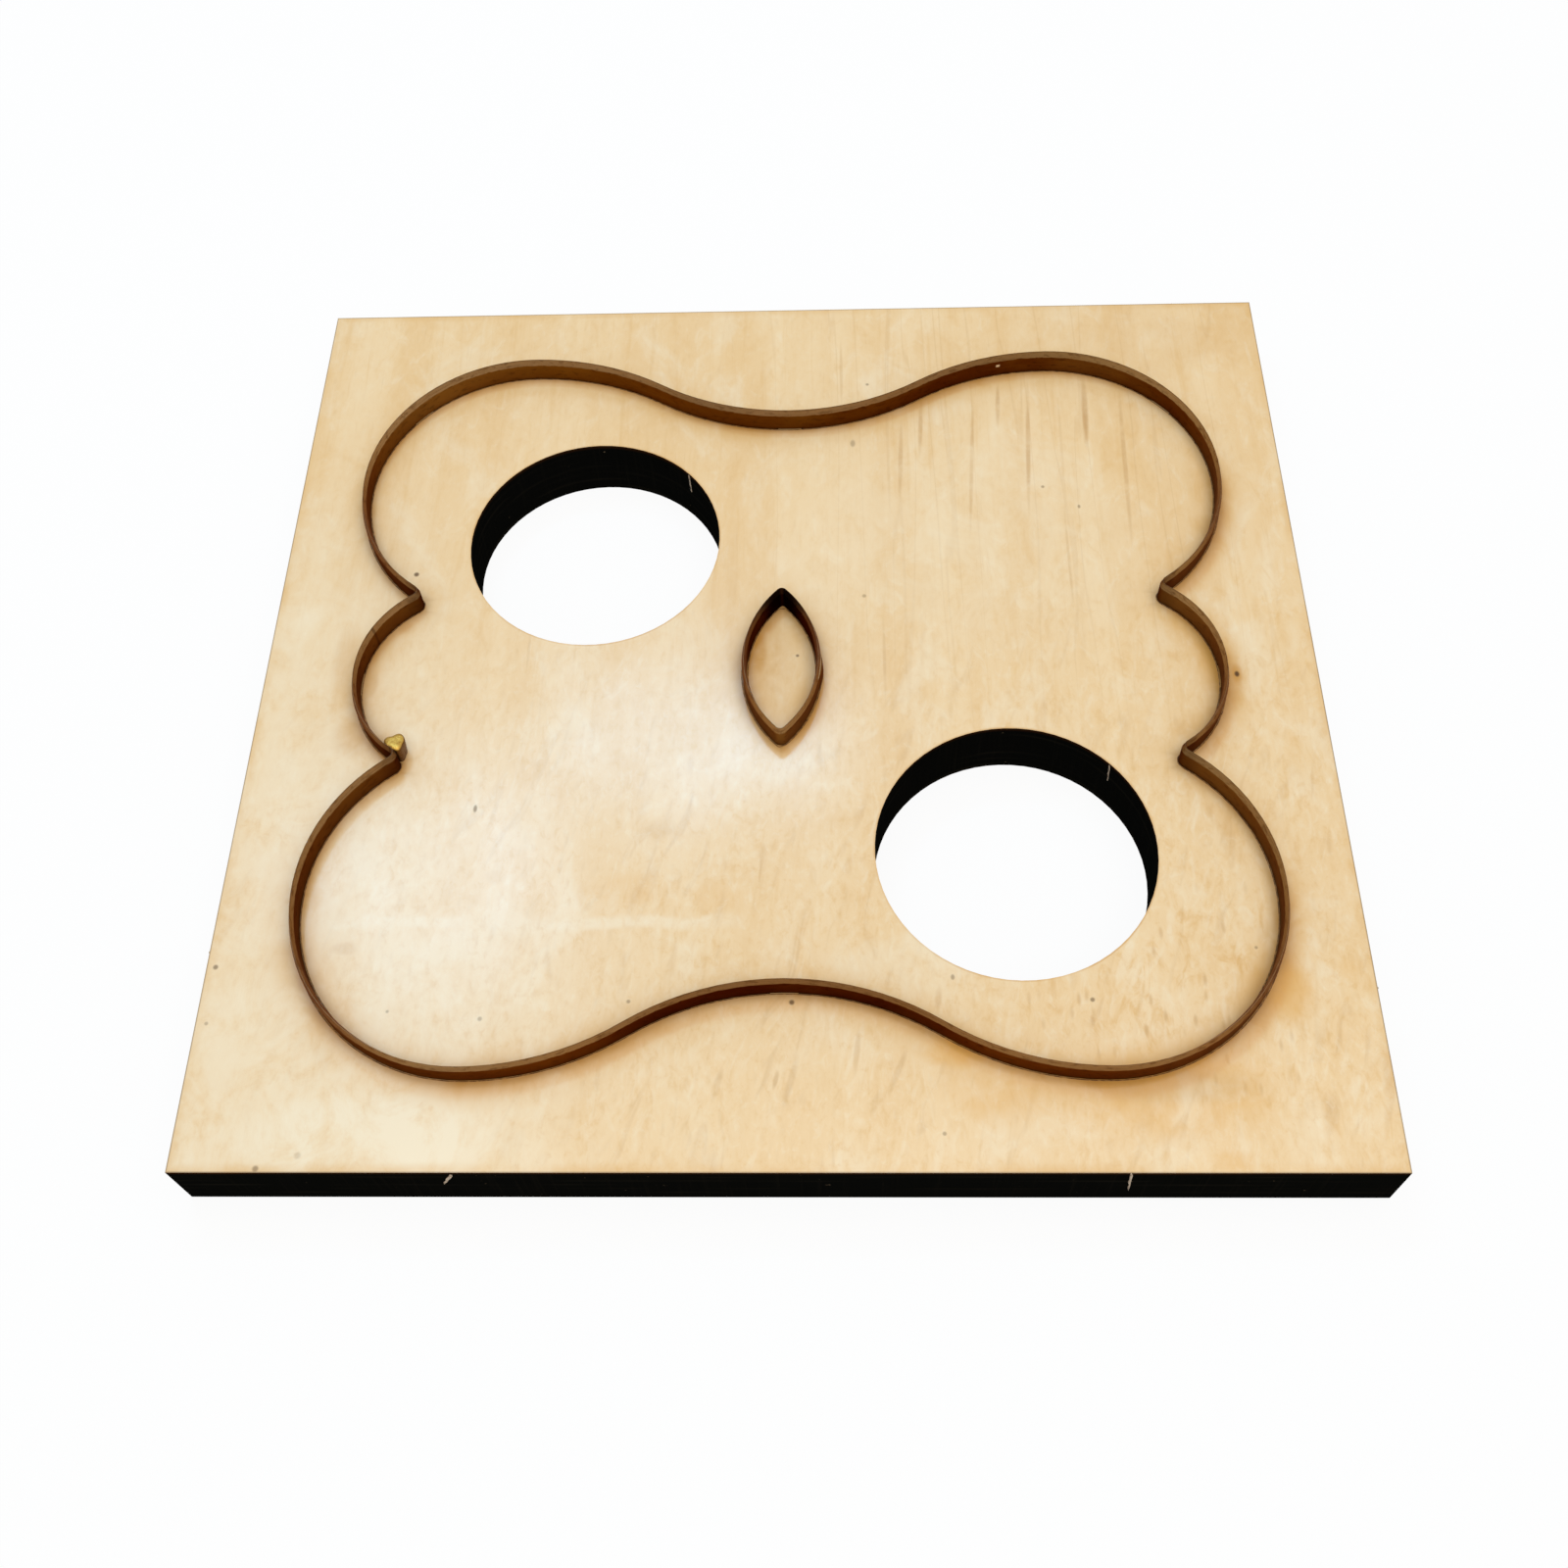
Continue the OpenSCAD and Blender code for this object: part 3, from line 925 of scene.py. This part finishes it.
@dataclass(frozen=True)
class RunBrass(Finish):
    """A bead of brass as it was run, bright on top, with painted shade darkening it brown down its sides.
    """

    name: str = "run_brass"
    bright: Tint = Tint(182, 144, 66)
    dull: Tint = Tint(156, 116, 46)
    # colour of the painted shade on the bead's sides
    stain: Tint = Tint(90, 52, 14)

    def paint(self, place: Wire) -> Wire:
        """Paints the bead.

        Args:
            place: Object coordinates in millimetres.

        Returns:
            The shader.
        """
        bench = place.bench
        ripple = bench.noise(place, (0.9, 0.9, 0.9), 3.0, 0.55, 0.6)
        # painted shade: the bead turns brown as its skin turns from facing up to facing sideways
        side = bench.facing().ease(0.85, 0.35)
        colour = bench.layer(
            self.bright, (self.dull, ripple.ease(0.45, 0.75)), (self.stain, side * 0.9)
        )
        return bench.surface(
            {
                "Base Color": colour,
                "Roughness": 0.30 + ripple * 0.25,
                "Metallic": 0.85,
                "Normal": bench.bump(ripple, 0.5, 0.5),
            }
        )


@dataclass(frozen=True)
class KerfChar(Finish):
    """Brown, crumbling char at the lip of a kerf."""

    name: str = "kerf_char"
    dark: Tint = Tint(104, 66, 30)
    brown: Tint = Tint(172, 124, 68)

    def paint(self, place: Wire) -> Wire:
        """Paints the char.

        Args:
            place: Object coordinates in millimetres.

        Returns:
            The shader.
        """
        bench = place.bench
        crumb = bench.noise(place, (0.7, 0.7, 0.7), 3.0, 0.6)
        colour = bench.layer(self.dark, (self.brown, crumb.ease(0.4, 0.7)))
        return bench.surface(
            {"Base Color": colour, "Roughness": 0.7 + crumb * 0.2, "Normal": bench.bump(crumb, 0.4, 0.2)}
        )


@dataclass(frozen=True)
class TornWood(Finish):
    """Pale, torn fibres, sooty towards the board's back."""

    name: str = "torn_wood"
    pale: Tint = Tint(214, 192, 168)
    brown: Tint = Tint(120, 88, 58)
    soot: Tint = Tint(26, 21, 17)

    def paint(self, place: Wire) -> Wire:
        """Paints the fibres.

        Args:
            place: Object coordinates in millimetres.

        Returns:
            The shader.
        """
        bench = place.bench
        strand = bench.noise(place, (3.0, 3.0, 0.3), 2.0, 0.6)
        sooty = bench.split(place)[2].ease(9.0, 5.0)
        colour = bench.layer(
            self.pale, (self.brown, strand.ease(0.45, 0.75)), (self.soot, sooty)
        )
        return bench.surface(
            {"Base Color": colour, "Roughness": 0.8 + strand * 0.1, "Normal": bench.bump(strand, 0.5, 0.2)}
        )


class Recipe:
    """A Geometry Nodes tree with named inputs, which grows a plain mesh from a seed mesh."""

    def __init__(self, name: str, inputs: Mapping[str, tuple[str, Any]]) -> None:
        """Makes the tree and its inputs.

        Args:
            name: The tree's name.
            inputs: Socket type and value by the input's name.
        """
        self.name = name
        self.tree = bpy.data.node_groups.new(name, "GeometryNodeTree")
        self.bench = Bench(self.tree)
        face = self.tree.interface
        face.new_socket("Geometry", in_out="OUTPUT", socket_type="NodeSocketGeometry")
        face.new_socket("Geometry", in_out="INPUT", socket_type="NodeSocketGeometry")
        self.values: dict[str, Any] = {}
        for label, (kind, value) in inputs.items():
            socket = face.new_socket(label, in_out="INPUT", socket_type=kind)
            self.values[socket.identifier] = value
        self._entry = self.bench.node("NodeGroupInput")

    def given(self, label: str) -> Wire:
        """Returns the wire of a named input."""
        return Wire(self.bench, self._entry.outputs[label])

    def close(self, geometry: Wire, finish: bpy.types.Material) -> None:
        """Ends the tree: instances become a mesh, and the mesh takes its finish."""
        real = self.bench.make("GeometryNodeRealizeInstances", None, {0: geometry})
        dressed = self.bench.make("GeometryNodeSetMaterial", None, {0: real, "Material": finish})
        self.bench.node("NodeGroupOutput", None, {0: dressed})

    def grow(self, seed: bpy.types.Mesh) -> bpy.types.Object:
        """Runs the tree.

        Args:
            seed: The mesh that the tree starts from.

        Returns:
            An object with the plain mesh that the tree made.
        """
        holder = bpy.data.objects.new(self.name + "_seed", seed)
        bpy.context.scene.collection.objects.link(holder)
        modifier = holder.modifiers.new(self.name, "NODES")
        modifier.node_group = self.tree
        for identifier, value in self.values.items():
            modifier[identifier] = value
        grown = holder.evaluated_get(bpy.context.evaluated_depsgraph_get())
        mesh = bpy.data.meshes.new_from_object(grown)
        holder.modifiers.remove(modifier)
        bpy.data.objects.remove(holder)
        return add_piece(self.name, mesh)


def add_piece(name: str, mesh: bpy.types.Mesh) -> bpy.types.Object:
    """Puts a mesh into the scene.

    Args:
        name: The piece's name.
        mesh: Its mesh, in place, in metres.

    Returns:
        The object, at the origin.
    """
    mesh.name = name
    piece = bpy.data.objects.new(name, mesh)
    bpy.context.scene.collection.objects.link(piece)
    return piece


def wrap(work: bmesh.types.BMesh, rings: list[list[bmesh.types.BMVert]]) -> None:
    """Joins each ring of points to the next one with a band of faces."""
    for lower, upper in zip(rings, rings[1:]):
        for i in range(len(lower)):
            j = (i + 1) % len(lower)
            work.faces.new((lower[i], lower[j], upper[j], upper[i]))


def to_mesh(
    work: bmesh.types.BMesh, name: str, finish: Optional[bpy.types.Material] = None
) -> bpy.types.Mesh:
    """Makes a mesh of a modelled shape.

    Args:
        work: The shape, which is used up.
        name: The mesh's name.
        finish: Its finish; a mesh that has one is smooth.

    Returns:
        The mesh.
    """
    bmesh.ops.recalc_face_normals(work, faces=work.faces)
    mesh = bpy.data.meshes.new(name)
    work.to_mesh(mesh)
    work.free()
    if finish is not None:
        mesh.materials.append(finish)
        for polygon in mesh.polygons:
            polygon.use_smooth = True
    return mesh


def settle(piece: bpy.types.Object) -> None:
    """Makes a piece ride on the die and reports it."""
    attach(piece, ROOT)
    log.info("%s: %d faces", piece.name, len(piece.data.polygons))


def dress(solid: Solid, finish: bpy.types.Material) -> None:
    """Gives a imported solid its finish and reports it."""
    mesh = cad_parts[solid.value].data
    mesh.materials.clear()
    mesh.materials.append(finish)
    log.info("%s takes %s", solid.value, finish.name)


@dataclass
class TornTab:
    """What is left of a tab that held the board, or a hole's waste, in the sheet."""

    x: float
    y: float
    outward: float
    top: float = 16.9
    foot: float = 4.0
    lean: float = 0.0
    width: float = 0.9
    proud: float = 0.5


@dataclass
class DieBoard:
    """The plywood board with its kerfs and round holes."""

    finish: ScorchedPlywood = field(default_factory=ScorchedPlywood)
    rule: RuleLine = field(default_factory=RuleLine)
    lip_off: float = 0.74
    lip_step: float = 0.45
    lip_size: float = 0.12
    lip_flat: float = 0.5
    lip_sides: int = 6
    lip_crumbs: float = 420.0
    line_step: float = 1.0
    seed: int = 7
    tab_angle: float = 43.0

    def dress(self) -> None:
        """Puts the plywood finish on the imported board."""
        dress(Solid.BOARD, self.finish.material())

    def tabs(self) -> list[TornTab]:
        """Returns the torn tabs on the board's edges and in the holes."""
        half_w, half_d = self.finish.width / 2, self.finish.depth / 2
        found = [
            TornTab(-68.0, -half_d, -90.0, 16.0, 9.5, -2.8, 0.9),
            TornTab(70.3, -half_d, -90.0, 17.0, 5.5, 0.9, 0.7),
            TornTab(-60.8, half_d, 90.0, 16.9, 3.0, 1.0),
            TornTab(104.3, half_d, 90.0, 16.9, 5.0, -0.8),
            TornTab(-half_w, -71.0, 180.0, 16.9, 4.0, 0.8),
            TornTab(half_w, -80.0, 0.0, 16.9, 4.0, -0.8),
        ]
        turn = math.radians(self.tab_angle)
        for x, y in self.finish.holes:
            x += self.finish.hole_r * math.cos(turn)
            y += self.finish.hole_r * math.sin(turn)
            found.append(TornTab(x, y, self.tab_angle + 180.0, 16.4, 10.0, 0.5, 0.5, 0.35))
        return found

    def build_tabs(self) -> bpy.types.Object:
        """Sets a torn sliver on each tab.

        Returns:
            The piece.
        """
        form = add_piece("sliver_form", self._sliver())
        recipe = Recipe("torn_tabs", {"Sliver": ("NodeSocketObject", form)})
        bench = recipe.bench
        shape = bench.make("GeometryNodeObjectInfo", None, {"Object": recipe.given("Sliver")}, "Geometry")
        turn, size = (
            bench.make("GeometryNodeInputNamedAttribute", {"data_type": "FLOAT_VECTOR"}, {"Name": name})
            for name in ("turn", "size")
        )
        turned = bench.make("FunctionNodeEulerToRotation", None, {0: turn})
        placed = bench.make(
            "GeometryNodeInstanceOnPoints",
            None,
            {"Points": recipe.given("Geometry"), "Instance": shape, "Rotation": turned, "Scale": size},
        )
        recipe.close(placed, TornWood().material())
        piece = recipe.grow(self._tab_points())
        bpy.data.objects.remove(form)
        settle(piece)
        return piece

    def _tab_points(self) -> bpy.types.Mesh:
        """Returns a point for each tab, with its turn and its size."""
        tabs = self.tabs()
        mesh = bpy.data.meshes.new("tab_points")
        mesh.from_pydata([(t.x * MM, t.y * MM, (t.top + t.foot) / 2 * MM) for t in tabs], [], [])
        turn = mesh.attributes.new("turn", "FLOAT_VECTOR", "POINT")
        size = mesh.attributes.new("size", "FLOAT_VECTOR", "POINT")
        for i, t in enumerate(tabs):
            height = t.top - t.foot
            turn.data[i].vector = (0.0, math.atan2(t.lean, height), math.radians(t.outward - 90))
            size.data[i].vector = (t.width * MM, t.proud * MM, height * MM)
        return mesh

    @staticmethod
    def _sliver() -> bpy.types.Mesh:
        """Models one torn sliver of unit size, standing on a wall that faces +Y.

        Returns:
            The mesh.
        """
        levels = (-0.5, -0.38, -0.2, -0.02, 0.15, 0.33, 0.46, 0.5)
        widths = (0.10, 0.34, 0.28, 0.46, 0.40, 0.50, 0.36, 0.12)
        sways = (0.0, 0.10, -0.06, 0.08, -0.04, -0.10, 0.04, 0.10)
        work = bmesh.new()
        rings = []
        for level, wide, sway in zip(levels, widths, sways):
            outline = ((-wide, -0.3), (wide, -0.3), (wide * 0.7, 0.35), (sway, 1.0), (-wide * 0.6, 0.5))
            rings.append([work.verts.new((x + sway, y * (0.4 + wide), level)) for x, y in outline])
        wrap(work, rings)
        work.faces.new(list(reversed(rings[0])))
        work.faces.new(rings[-1])
        return to_mesh(work, "sliver")

    def build_lip(self) -> bpy.types.Object:
        """Runs a broken lip of char along both sides of every kerf.

        Returns:
            The piece.
        """
        recipe = Recipe(
            "kerf_lip",
            {
                "Step": ("NodeSocketFloat", self.lip_step * MM),
                "Thickness": ("NodeSocketFloat", self.lip_size * MM),
                "Bed": ("NodeSocketFloat", self.finish.thickness * MM),
                "Flatness": ("NodeSocketFloat", self.lip_flat),
                "Seed": ("NodeSocketInt", self.seed),
            },
        )
        bench = recipe.bench
        line = bench.make("GeometryNodeMeshToCurve", None, {0: recipe.given("Geometry")})
        pace = {"Curve": line, "Length": recipe.given("Step")}
        line = bench.make("GeometryNodeResampleCurve", {"mode": "LENGTH"}, pace)
        where = bench.make("GeometryNodeInputPosition")
        grains = {"Scale": self.lip_crumbs, "Detail": 3.0, "Roughness": 0.7}
        crumb = bench.make(
            "ShaderNodeTexNoise",
            {"noise_dimensions": "4D"},
            {"Vector": where, "W": recipe.given("Seed"), **grains},
        )
        radius = 0.12 + crumb.ease(0.40, 0.72) * 1.0
        line = bench.make("GeometryNodeSetCurveRadius", None, {"Curve": line, "Radius": radius})
        section = {"Resolution": self.lip_sides, "Radius": recipe.given("Thickness")}
        ring = bench.make("GeometryNodeCurvePrimitiveCircle", None, section)
        tube = bench.make("GeometryNodeCurveToMesh", None, {"Curve": line, "Profile Curve": ring})
        height = bench.split(where)[2]
        drop = bench.join(0.0, 0.0, (recipe.given("Bed") - height) * recipe.given("Flatness"))
        tube = bench.make("GeometryNodeSetPosition", None, {"Geometry": tube, "Offset": drop})
        recipe.close(tube, KerfChar().material())
        piece = recipe.grow(self._lip_lines())
        settle(piece)
        return piece

    def _lip_lines(self) -> bpy.types.Mesh:
        """Returns the closed lines that the char follows, as edges on the board's top face."""
        spots: list[Spot] = []
        edges: list[tuple[int, int]] = []
        for aside in (self.lip_off, -self.lip_off):
            for walk in (self.rule.outline_loop, self.rule.oval_loop):
                loop = walk(aside, self.line_step)
                start, count = len(spots), len(loop)
                spots += [(x * MM, y * MM, self.finish.thickness * MM) for x, y in loop]
                edges += [(start + i, start + (i + 1) % count) for i in range(count)]
        mesh = bpy.data.meshes.new("lip_lines")
        mesh.from_pydata(spots, edges, [])
        return mesh


@dataclass
class CuttingRule:
    """The three lengths of bent rule."""

    rule: RuleLine = field(default_factory=RuleLine)
    finish: TemperedRule = field(default_factory=TemperedRule)
    half_t: float = 0.525
    swell: float = 0.62
    swell_from: float = -4.8
    swell_to: float = 3.4
    swell_sunk: float = 0.15
    swell_round: float = 1.3
    swell_steps: int = 14
    swell_levels: tuple[float, ...] = (16.9, 17.6, 19.0, 20.6, 21.7, 22.3)
    swell_shares: tuple[float, ...] = (0.75, 0.95, 1.0, 0.9, 0.65, 0.0)

    def dress(self) -> None:
        """Puts steel on the three rules."""
        steel = self.finish.material()
        for solid in (Solid.UPPER_RULE, Solid.LOWER_RULE, Solid.CENTRE_RULE):
            dress(solid, steel)

    def build_swelling(self) -> bpy.types.Object:
        """Models the swelling where the oval's rule closes, on its right side.

        Returns:
            The piece.
        """
        work = bmesh.new()
        pairs = zip(self.swell_levels, self.swell_shares)
        rows = [self._swell_row(work, level, share) for level, share in pairs]
        wrap(work, rows)
        for row in (rows[0], rows[-1]):
            for i in range(self.swell_steps):
                work.faces.new((row[i], row[i + 1], row[-2 - i], row[-1 - i]))
        mesh = to_mesh(work, "oval_swelling", bpy.data.materials[self.finish.name])
        piece = add_piece("oval_swelling", mesh)
        settle(piece)
        return piece

    def _swell_row(
        self, work: bmesh.types.BMesh, level: float, share: float
    ) -> list[bmesh.types.BMVert]:
        """Sets the points of the swelling at one height.

        Args:
            work: The shape that takes the points.
            level: The height.
            share: How far the swelling stands out there, 0 to 1.

        Returns:
            The points, out along the rule and back inside it.
        """
        arc, middle = self.rule.oval_side(), self.rule.oval_middle
        outer, inner = [], []
        for i in range(self.swell_steps + 1):
            t = i / self.swell_steps
            along = self.swell_from + (self.swell_to - self.swell_from) * t
            angle = math.degrees(math.asin((along - middle[1]) / arc.radius))
            rise = self.swell * share * math.sin(math.pi * t) ** self.swell_round
            for row, off in ((outer, self.half_t + rise), (inner, self.half_t - self.swell_sunk)):
                x, y = arc.spot(angle, off)
                spot = ((x + middle[0]) * MM, (y + middle[1]) * MM, level * MM)
                row.append(work.verts.new(spot))
        return outer + list(reversed(inner))


@dataclass
class BrassBead:
    """The bead that joins the rules in the front left notch, run into the corner in three lobes."""

    middle: Point = (-89.6, -21.0)
    radius: float = 2.35
    lobing: float = 0.34
    lobe_angle: float = 55.0
    board_z: float = 17.0
    top_z: float = 22.75
    dimple: float = 0.05
    ripple: float = 0.09
    sag: float = 0.25
    sag_height: float = 6.0
    around: int = 36
    heights: tuple[float, ...] = (0.0, 0.25, 0.6, 0.85, 0.94, 0.985, 1.0)
    shares: tuple[float, ...] = (0.80, 0.86, 0.94, 0.98, 0.95, 0.84, 0.50)

    def build(self) -> bpy.types.Object:
        """Models the bead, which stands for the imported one.

        Returns:
            The piece.
        """
        work = bmesh.new()
        rings = []
        for height, share in zip(self.heights, self.shares):
            level = self.board_z + (self.top_z - self.board_z) * height
            rings.append([work.verts.new(self._spot(i, share, level)) for i in range(self.around)])
        wrap(work, rings)
        for ring, level in ((rings[0], self.board_z), (rings[-1], self.top_z - self.dimple)):
            hub = work.verts.new((self.middle[0] * MM, self.middle[1] * MM, level * MM))
            for i in range(self.around):
                work.faces.new((ring[i], ring[(i + 1) % self.around], hub))
        piece = add_piece("brass_bead", to_mesh(work, "brass_bead", RunBrass().material()))
        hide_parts(Solid.BRAZE.value)
        settle(piece)
        return piece

    def _spot(self, index: int, share: float, level: float) -> Spot:
        """Finds a point on the bead's skin.

        Args:
            index: Which point of its ring.
            share: The ring's share of the full radius.
            level: The ring's height.

        Returns:
            The point, in metres.
        """
        angle = 2 * math.pi * index / self.around
        turned = angle - math.radians(self.lobe_angle)
        lobes = self.lobing * math.cos(3 * turned)
        reach = (self.radius + lobes + self.ripple * math.sin(5 * angle + 1.0)) * share
        sag = self.sag * math.cos(turned) * (level - self.board_z) / self.sag_height
        return (
            (self.middle[0] + reach * math.cos(angle)) * MM,
            (self.middle[1] + reach * math.sin(angle)) * MM,
            (level - sag) * MM,
        )


@dataclass(frozen=True)
class Lamp:
    """A soft light with a square or oblong face."""

    name: str
    place: Spot
    aim: Spot
    length: float
    breadth: float
    watts: float
    long_way: Spot = (1.0, 0.0, 0.0)
    tint: Tint = Tint(255, 255, 255)

    def hang(self) -> None:
        """Hangs the lamp with its long side along the given way."""
        light = bpy.data.lights.new(self.name, "AREA")
        light.shape = "RECTANGLE"
        light.size, light.size_y = self.length, self.breadth
        light.energy = self.watts
        light.color = self.tint.rgba()[:3]
        back = (Vector(self.place) - Vector(self.aim)).normalized()
        side = (Vector(self.long_way) - Vector(self.long_way).dot(back) * back).normalized()
        up = back.cross(side)
        lamp = bpy.data.objects.new(self.name, light)
        lamp.rotation_euler = Matrix((side, up, back)).transposed().to_euler()
        lamp.location = self.place
        bpy.context.scene.collection.objects.link(lamp)


@dataclass
class Studio:
    """Floor, light and camera."""

    floor_half: float = 4.0
    floor_tint: Tint = Tint(247, 247, 247)
    floor_glow: float = 0.93
    sky: float = 0.40
    lamps: tuple[Lamp, ...] = (
        Lamp(
            "overhead_softbox", (0.20, -0.25, 1.60), (0.0, 0.0, 0.0),
            1.6, 1.6, 15.8, (1.0, 0.0, 0.0), Tint(255, 249, 237),
        ),
        Lamp(
            "right_pane", (-0.1025, 0.4719, 0.836), (-0.0215, -0.0175, 0.017),
            0.20, 0.08, 1.25, (-1.0, -0.12, 0.0), Tint(140, 208, 255),
        ),
        Lamp(
            "left_pane", (-0.285, 0.334, 0.836), (-0.0753, -0.0583, 0.017),
            0.17, 0.13, 1.1, (-0.62, -0.38, 0.0), Tint(150, 210, 255),
        ),
    )
    eye: Spot = (0.01259, -0.222312, 0.359718)
    turn: Spot = (32.39037, 2.03545, 0.6434)
    lens: float = 39.54151
    sensor: float = 36.0
    shift: Point = (0.0046, -0.05869)

    def build(self) -> None:
        """Sets up floor, sky, lamps and camera."""
        self._floor()
        self._sky()
        for lamp in self.lamps:
            lamp.hang()
        self._camera()
        bpy.context.scene.view_settings.view_transform = "Standard"

    @staticmethod
    def _seen(bench: Bench) -> Wire:
        """Returns 1 where the camera looks, straight or by way of a gloss or glass, and 0 elsewhere."""
        path = bench.node("ShaderNodeLightPath")
        names = ("Is Camera Ray", "Is Glossy Ray", "Is Transmission Ray")
        camera, glossy, through = (Wire(bench, path.outputs[name]) for name in names)
        return camera.at_least(glossy).at_least(through)

    def _floor(self) -> None:
        """Lays a pale floor that keeps the die's shadow."""
        reach = self.floor_half
        mesh = bpy.data.meshes.new("floor")
        corners = [(-reach, -reach, 0), (reach, -reach, 0), (reach, reach, 0), (-reach, reach, 0)]
        mesh.from_pydata(corners, [], [(0, 1, 2, 3)])
        material = bpy.data.materials.new("floor_paper")
        material.use_nodes = True
        bench = Bench(material.node_tree)
        paper = bench.make("ShaderNodeBsdfDiffuse", None, {"Color": self.floor_tint.rgba()})
        glow = bench.make("ShaderNodeEmission", None, {"Color": WHITE, "Strength": 1.0})
        bright = self._seen(bench) * self.floor_glow
        mixed = bench.make("ShaderNodeMixShader", None, {0: bright, 1: paper, 2: glow})
        bench.node("ShaderNodeOutputMaterial", None, {"Surface": mixed})
        mesh.materials.append(material)
        add_piece("floor", mesh)

    def _sky(self) -> None:
        """Gives an even light from all round, white where it is seen."""
        world = bpy.data.worlds.new("studio")
        bpy.context.scene.world = world
        world.use_nodes = True
        bench = Bench(world.node_tree)
        seen = self._seen(bench)
        strength = seen + (1 - seen) * self.sky
        glow = bench.make("ShaderNodeBackground", None, {"Color": WHITE, "Strength": strength})
        bench.node("ShaderNodeOutputWorld", None, {"Surface": glow})

    def _camera(self) -> None:
        """Stands the camera where the photograph was taken from."""
        data = bpy.data.cameras.new("camera")
        data.lens = self.lens
        data.sensor_width = self.sensor
        data.shift_x, data.shift_y = self.shift
        camera = bpy.data.objects.new("camera", data)
        camera.location = self.eye
        camera.rotation_euler = [math.radians(angle) for angle in self.turn]
        bpy.context.scene.collection.objects.link(camera)
        bpy.context.scene.camera = camera


def main() -> None:
    """Builds and dresses the die, piece by piece."""
    logging.basicConfig(level=logging.INFO, format="%(message)s")
    Studio().build()
    board = DieBoard()
    board.dress()
    rules = CuttingRule()
    rules.dress()
    BrassBead().build()
    board.build_lip()
    board.build_tabs()
    rules.build_swelling()


if __name__ == "__main__":
    main()
